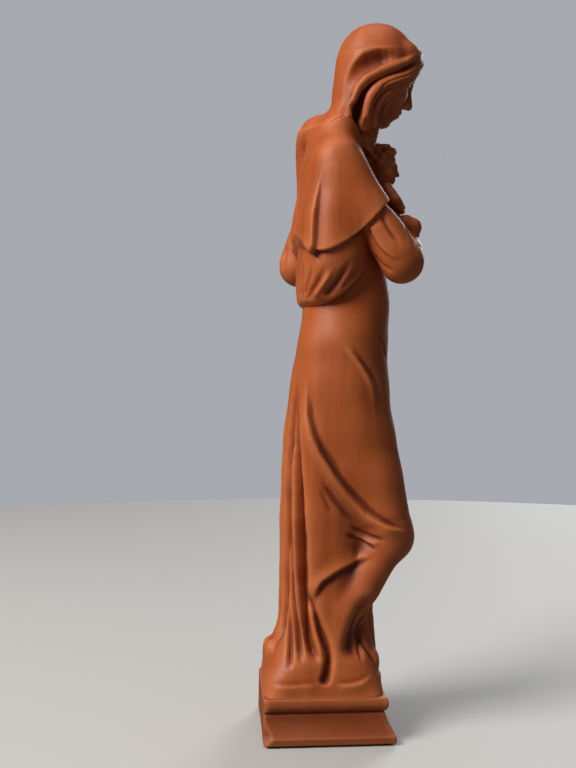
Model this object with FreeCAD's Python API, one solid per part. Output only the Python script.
"""Carved wooden Madonna and child on a moulded plinth, modelled in millimetres.

Frame: +Z up, origin at the centre of the felt's underside, the figure faces -Y and its right side is -X.

The statue is put together from carved blanks. The plinth is one block. The figure and the ground it stands
on are one long block. The head with its veil, the two projecting sleeves with their hands and the child are
smaller blanks, pinned with dowels and glued. Two screws hold the figure down from under the plinth, and a
sheet of felt covers their heads.
"""

import FreeCAD
import Part
import math
import os

V = FreeCAD.Vector

# ---- driving dimensions ------------------------------------------------------------------------------
PLINTH_WIDTH = 54.0        # along X, at the foot of the moulding
PLINTH_DEPTH = 53.6        # along Y, at the foot of the moulding
FELT_THICKNESS = 0.8
FELT_INSET = 1.6
PLINTH_TOP = 18.5          # the flat joint face between plinth and figure
HEAD_JOINT = V(0, -9, 249) # centre of the neck joint
NECK_AXIS = V(0, -0.46, 0.888)
ELBOW_R = V(-22, -27.5, 196)
ELBOW_L = V(31.5, 9.5, 198.5)
WRIST_R = V(4, -35.5, 211)
WRIST_L = V(12, -29, 203)
KNEE = V(-10, -29.5, 83)
HIP = V(-9, -8, 150)
HEEL = V(-12, 1, 36)
CHILD_HEAD = V(6, -27, 239)
CHILD_CHEST = V(5, -27, 223)
CHILD_HIP = V(2, -30, 210)
CAPE_HEM = V(0, 6, 200)    # the hem lies in a plane that rises to the front
CAPE_HEM_NORMAL = V(0, 0.45, 0.89)

DOWEL_GAP = 0.05           # glue film round a dowel
BLIND = 1.0                # air left at a blind hole's end
SCREW_PLACES = (-11.0, 11.0)      # along Y
SCREW_SINK = 1.0
SCREW_HEAD_R = 4.0
SCREW_SHANK_R = 2.0
SCREW_LENGTH = 32.0
LOCATING_PLACES = (-14.0, 14.0)   # along X
LOCATING_R = 2.5
LOCATING_LENGTH = 16.0

MOULDING_FOOT = 3.5        # top of the plinth's vertical foot
GROOVE_Z = 12.2
TORUS_Z = 13.2
GROOVE_INSET = 4.2
HOLLOW_INSET = 3.8
TORUS_INSET = 3.5
TORUS_BULGE = 2.7
CORNER_FOOT = 2.0


# ---- building blocks ---------------------------------------------------------------------------------
def ring(z, left, right, front, back, square=2.3, points=12):
    """Closed smooth outline at height z, a rounded box reaching left, right, front and back."""
    cx, cy = (left + right) / 2, (front + back) / 2
    rx, ry = (right - left) / 2, (back - front) / 2
    around = []
    for i in range(points):
        a = 2 * math.pi * i / points
        c, s = math.cos(a), math.sin(a)
        x = cx + rx * math.copysign(abs(c) ** (2 / square), c)
        y = cy + ry * math.copysign(abs(s) ** (2 / square), s)
        around.append(V(x, y, z))
    curve = Part.BSplineCurve()
    curve.interpolate(Points=around, PeriodicFlag=True)
    return Part.Wire(curve.toShape())


def loft(rows):
    """Solid through rings, one (z, left, right, front, back) row for each height."""
    return Part.makeLoft([ring(*row) for row in rows], True, False)


def limb(start, end, r_start, r_end):
    """Tapered limb with round ends."""
    axis = end - start
    middle = Part.makeCone(r_start, r_end, axis.Length, start, axis)
    return fuse([middle, Part.makeSphere(r_start, start), Part.makeSphere(r_end, end)])


def egg(centre, rx, ry, rz, nod=0.0):
    """Ellipsoid; nod turns it forward about X, in degrees."""
    shape = Part.makeSphere(1.0)
    scale = FreeCAD.Matrix()
    scale.scale(V(rx, ry, rz))
    shape = shape.transformGeometry(scale)
    shape.rotate(V(0, 0, 0), V(1, 0, 0), nod)
    shape.translate(centre)
    return shape


def rod(start, end, radius):
    """Round rod between two points."""
    return Part.makeCylinder(radius, (end - start).Length, start, end - start)


def fuse(shapes):
    """Join solids one after the other."""
    whole = shapes[0]
    for shape in shapes[1:]:
        whole = whole.fuse(shape)
    return whole


def half_space(point, normal, size=200.0):
    """Big block on the side of a plane that its normal points to."""
    block = Part.makeBox(size, size, size, V(-size / 2, -size / 2, 0))
    block.Placement = FreeCAD.Placement(point, FreeCAD.Rotation(V(0, 0, 1), normal))
    return block


def solids_of(shape):
    return Part.makeCompound(shape.Solids) if len(shape.Solids) > 1 else shape.Solids[0]


def largest(shape):
    return max(shape.Solids, key=lambda s: s.Volume)


# ---- plinth ------------------------------------------------------------------------------------------
def moulding_edge(half):
    """Half section of the moulding, from foot to top: foot, hollow, groove and torus."""
    def at(inset, z):
        return V(half - inset, 0, z)

    groove_z = (GROOVE_Z + TORUS_Z) / 2
    return [
        Part.LineSegment(at(0, FELT_THICKNESS), at(0, MOULDING_FOOT)),
        Part.Arc(
            at(0, MOULDING_FOOT),
            at(HOLLOW_INSET * 0.68, (MOULDING_FOOT + GROOVE_Z) / 2 - 0.6),
            at(HOLLOW_INSET, GROOVE_Z),
        ),
        Part.LineSegment(at(HOLLOW_INSET, GROOVE_Z), at(GROOVE_INSET, groove_z)),
        Part.LineSegment(at(GROOVE_INSET, groove_z), at(TORUS_INSET, TORUS_Z)),
        Part.Arc(
            at(TORUS_INSET, TORUS_Z),
            at(TORUS_BULGE, (TORUS_Z + PLINTH_TOP) / 2),
            at(TORUS_INSET, PLINTH_TOP),
        ),
    ]


def moulded_half(half, reach=40.0):
    """Block over x >= 0 whose outer long side is moulded, running from -reach to reach along Y."""
    run = [piece.toShape() for piece in moulding_edge(half)]
    top = Part.makeLine(V(half - TORUS_INSET, 0, PLINTH_TOP), V(0, 0, PLINTH_TOP))
    middle = Part.makeLine(V(0, 0, PLINTH_TOP), V(0, 0, FELT_THICKNESS))
    foot = Part.makeLine(V(0, 0, FELT_THICKNESS), V(half, 0, FELT_THICKNESS))
    face = Part.Face(Part.Wire([*run, top, middle, foot]))
    face.translate(V(0, -reach, 0))
    return face.extrude(V(0, 2 * reach, 0))


def turned(shape, degrees):
    copy = shape.copy()
    copy.rotate(V(0, 0, 0), V(0, 0, 1), degrees)
    return copy


def corner_cut(side):
    """Wedge that takes off a back corner and runs out just above the foot."""
    corner = V(side * PLINTH_WIDTH / 2, PLINTH_DEPTH / 2, CORNER_FOOT)
    return half_space(corner, V(side, 1, 0.15)).common(half_space(corner, V(0, 0, 1)))


def plinth():
    """Moulded on the front and both sides, with mitred corners; the back is flat and its corners are cut."""
    side = moulded_half(PLINTH_WIDTH / 2)
    both_sides = side.fuse(turned(side, 180))
    front = turned(moulded_half(PLINTH_DEPTH / 2), -90)
    back = Part.makeBox(80, PLINTH_DEPTH / 2, PLINTH_TOP - FELT_THICKNESS, V(-40, 0, FELT_THICKNESS))
    block = both_sides.common(front.fuse(back))
    for side in (-1, 1):
        block = block.cut(corner_cut(side))
    for y in SCREW_PLACES:
        block = block.cut(screw(y, DOWEL_GAP))
        mouth = Part.makeCylinder(SCREW_HEAD_R + DOWEL_GAP, SCREW_SINK, V(0, y, FELT_THICKNESS))
        block = block.cut(mouth)
    for x in LOCATING_PLACES:
        block = block.cut(locating_dowel(x, DOWEL_GAP, BLIND))
    return block.removeSplitter()


def felt():
    inset = 2 * FELT_INSET
    sheet = Part.makeBox(PLINTH_WIDTH - inset, PLINTH_DEPTH - inset, FELT_THICKNESS)
    sheet.translate(V(FELT_INSET - PLINTH_WIDTH / 2, FELT_INSET - PLINTH_DEPTH / 2, 0))
    upright = [e for e in sheet.Edges if abs(e.Vertexes[0].Z - e.Vertexes[1].Z) > 0.1]
    return sheet.makeFillet(1.5, upright)


# ---- fasteners ---------------------------------------------------------------------------------------
def screw(y, gap=0.0):
    """Countersunk wood screw pointing up from the underside; gap makes it a drill for its own hole."""
    head_z = FELT_THICKNESS + SCREW_SINK
    cone_height = SCREW_HEAD_R - SCREW_SHANK_R
    tip_height = 4.0
    shank_height = SCREW_LENGTH - cone_height - tip_height
    r = SCREW_SHANK_R + gap
    head = Part.makeCone(SCREW_HEAD_R + gap, r, cone_height, V(0, y, head_z))
    shank = Part.makeCylinder(r, shank_height, V(0, y, head_z + cone_height))
    tip = Part.makeCone(r, 0.3 + gap, tip_height, V(0, y, head_z + cone_height + shank_height))
    shape = fuse([head, shank, tip])
    if gap:
        return shape
    slot = Part.makeBox(2 * SCREW_HEAD_R, 1.0, 1.2, V(-SCREW_HEAD_R, y - 0.5, head_z - 0.2))
    return shape.cut(slot)


def locating_dowel(x, gap=0.0, blind=0.0):
    """Upright dowel half in the plinth and half in the figure."""
    half = LOCATING_LENGTH / 2 + blind
    return Part.makeCylinder(LOCATING_R + gap, 2 * half, V(x, 0, PLINTH_TOP - half))


# each dowel: where it starts in the figure block, where it ends in the blank it holds, and its radius
DOWELS = {
    "neck_dowel": (V(0, -3.4, 238), V(0, -14.6, 259.6), 3.0),
    "right_arm_dowel": (V(-19.5, -7, 229), V(-21.2, -19, 208.5), 2.0),
    "left_arm_dowel": (V(25.2, 2.9, 229), V(30.0, 7.8, 205), 2.0),
    "child_dowel": (V(5, -12.5, 222), V(5, -28.5, 222), 1.75),
}


def dowel(name, gap=0.0, blind=0.0):
    start, end, radius = DOWELS[name]
    reach = V(end - start).normalize() * blind
    return rod(start - reach, end + reach, radius + gap)


# ---- carved blanks -----------------------------------------------------------------------------------
def body():
    """Ground, gown and torso in one: squared on the plinth, a column round the standing leg above."""
    side = PLINTH_WIDTH / 2 - TORUS_INSET
    front = PLINTH_DEPTH / 2 - TORUS_INSET
    back = PLINTH_DEPTH / 2
    return loft([
        (PLINTH_TOP, -side, side, -front, back - 0.3, 6.0),
        (23, -side + 0.6, side - 0.6, -front + 0.7, back - 0.6, 5.0),
        (28, -22.3, 22.5, -22.4, 25.4, 3.6),
        (34, -21.2, 22.0, -21.4, 23.6, 2.9),
        (42, -19.6, 20.8, -18.9, 20.8),
        (50, -18.5, 20.0, -19.0, 19.5),
        (70, -18.8, 20.5, -24.5, 18.0),
        (90, -19.5, 21.5, -27.5, 17.4),
        (122, -21.0, 22.5, -26.5, 16.2),
        (148, -21.5, 22.5, -26.5, 13.4),
        (168, -19.8, 21.0, -27.8, 10.0),
        (184, -18.6, 19.6, -27.6, 8.0),
        (195, -19.0, 20.5, -25.5, 8.6),
        (210, -20.5, 22.0, -22.5, 9.6),
        (225, -21.5, 23.0, -19.5, 9.2),
        (238, -20.0, 22.0, -17.0, 6.6),
        (247, -13.5, 16.0, -16.0, 2.6),
        (254, -8.5, 9.0, -17.0, -1.6),
    ])


def bent_leg():
    """The free leg under the gown: thigh forward to the knee, shin drawn back to the heel."""
    return [limb(HIP, KNEE, 12.5, 8.8), limb(KNEE, HEEL, 8.6, 8.0)]


def blouse():
    """The gown's upper part bulges out over the girdle at the back and sides."""
    return loft([
        (178.5, -18.0, 18.6, -14.0, 8.6),
        (182.5, -21.0, 21.6, -16.0, 10.8),
        (190, -22.6, 23.0, -18.0, 11.6),
        (198, -22.6, 23.6, -19.0, 11.2),
        (206, -21.5, 23.0, -19.0, 10.4),
    ])


def cape():
    """Short cape over both shoulders, its hem standing off the sleeves and rising towards the front."""
    shell = loft([
        (194, -29.0, 35.0, -22.0, 14.2),
        (208, -28.8, 35.0, -22.5, 13.4),
        (222, -28.2, 34.2, -21.5, 12.0),
        (235, -26.6, 32.4, -19.0, 10.6),
        (244, -22.5, 29.5, -17.0, 9.2),
        (250, -14.5, 24.0, -16.5, 6.4),
        (255, -8.5, 15.0, -16.0, 0.0),
    ])
    return shell.common(half_space(CAPE_HEM, CAPE_HEM_NORMAL))


def head_and_veil():
    """Bowed head: veil over the crown and down the nape, hair at the temple, face and neck."""
    veil = egg(V(0.5, -23.8, 280.6), 16.8, 17.6, 19.6, 24)
    face = egg(V(0.5, -30.5, 270.5), 11.6, 12.2, 17.2, 24)
    nape = limb(V(0.5, -17.5, 272), V(1.0, -8.0, 250), 12.5, 9.0)
    neck = limb(V(0, -20, 262), V(0, -11, 246), 7.5, 8.0)
    head = fuse([veil, face, nape, neck])
    return largest(head.common(half_space(HEAD_JOINT, NECK_AXIS)))


def right_arm():
    """Sleeve from under the cape to the elbow, forearm across the body and the hand under the child."""
    upper = limb(V(-20.5, -13, 218), ELBOW_R, 8.0, 8.8)
    fore = limb(ELBOW_R, WRIST_R, 8.0, 4.6)
    hand = limb(WRIST_R, WRIST_R + V(8.5, 2.0, 7.0), 4.2, 2.8)
    return fuse([upper, fore, hand])


def left_arm():
    """Wide sleeve hanging from the elbow, forearm forward under the child, hand in front."""
    upper = limb(V(27.0, 4.5, 222), ELBOW_L, 7.2, 7.8)
    fore = limb(ELBOW_L, WRIST_L, 7.6, 5.4)
    hand = limb(WRIST_L, WRIST_L + V(-12, -4.5, -1.0), 4.4, 3.0)
    return fuse([upper, fore, hand])


def child():
    """Swaddled child held upright against the breast, legs over the hands."""
    head = egg(CHILD_HEAD, 7.2, 7.6, 8.6, 10)
    body = limb(CHILD_CHEST, CHILD_HIP, 8.0, 7.4)
    neck = limb(CHILD_HEAD, CHILD_CHEST, 3.6, 5.0)
    legs = limb(CHILD_HIP, CHILD_HIP + V(-7, -3.5, 6), 5.6, 4.2)
    return fuse([head, body, neck, legs])


def figure_block():
    """The main block, from the ground to the neck joint."""
    shape = fuse([body(), blouse(), cape(), *bent_leg()])
    shape = shape.cut(half_space(HEAD_JOINT, NECK_AXIS))
    return largest(shape)


# ---- assembly ----------------------------------------------------------------------------------------
def drill(blank, names):
    for name in names:
        blank = blank.cut(dowel(name, DOWEL_GAP, BLIND))
    return blank


def assemble():
    figure = figure_block()
    arm_r = largest(right_arm().cut(figure))
    arm_l = largest(left_arm().cut(figure).cut(arm_r))
    infant = largest(child().cut(figure).cut(arm_r).cut(arm_l))
    head = head_and_veil().cut(infant)
    for y in SCREW_PLACES:
        figure = figure.cut(screw(y, DOWEL_GAP))
    for x in LOCATING_PLACES:
        figure = figure.cut(locating_dowel(x, DOWEL_GAP, BLIND))
    parts = {
        "plinth": plinth(),
        "felt_pad": felt(),
        "figure_block": drill(figure, DOWELS),
        "head_and_veil": drill(head, ["neck_dowel"]),
        "right_arm": drill(arm_r, ["right_arm_dowel"]),
        "left_arm": drill(arm_l, ["left_arm_dowel"]),
        "child": drill(infant, ["child_dowel"]),
        "plinth_screws": Part.makeCompound([screw(y) for y in SCREW_PLACES]),
        "locating_dowels": Part.makeCompound(
            [locating_dowel(x) for x in LOCATING_PLACES]
        ),
    }
    for name in DOWELS:
        parts[name] = dowel(name)
    return parts


def main():
    os.makedirs("parts", exist_ok=True)
    for name, shape in assemble().items():
        shape = solids_of(shape)
        box = shape.optimalBoundingBox(False, False)
        size = f"{box.XLength:.1f} x {box.YLength:.1f} x {box.ZLength:.1f}"
        print(f"{name:16s} solids {len(shape.Solids)} valid {shape.isValid()} size {size}")
        shape.exportStep(f"parts/{name}.step")


main()
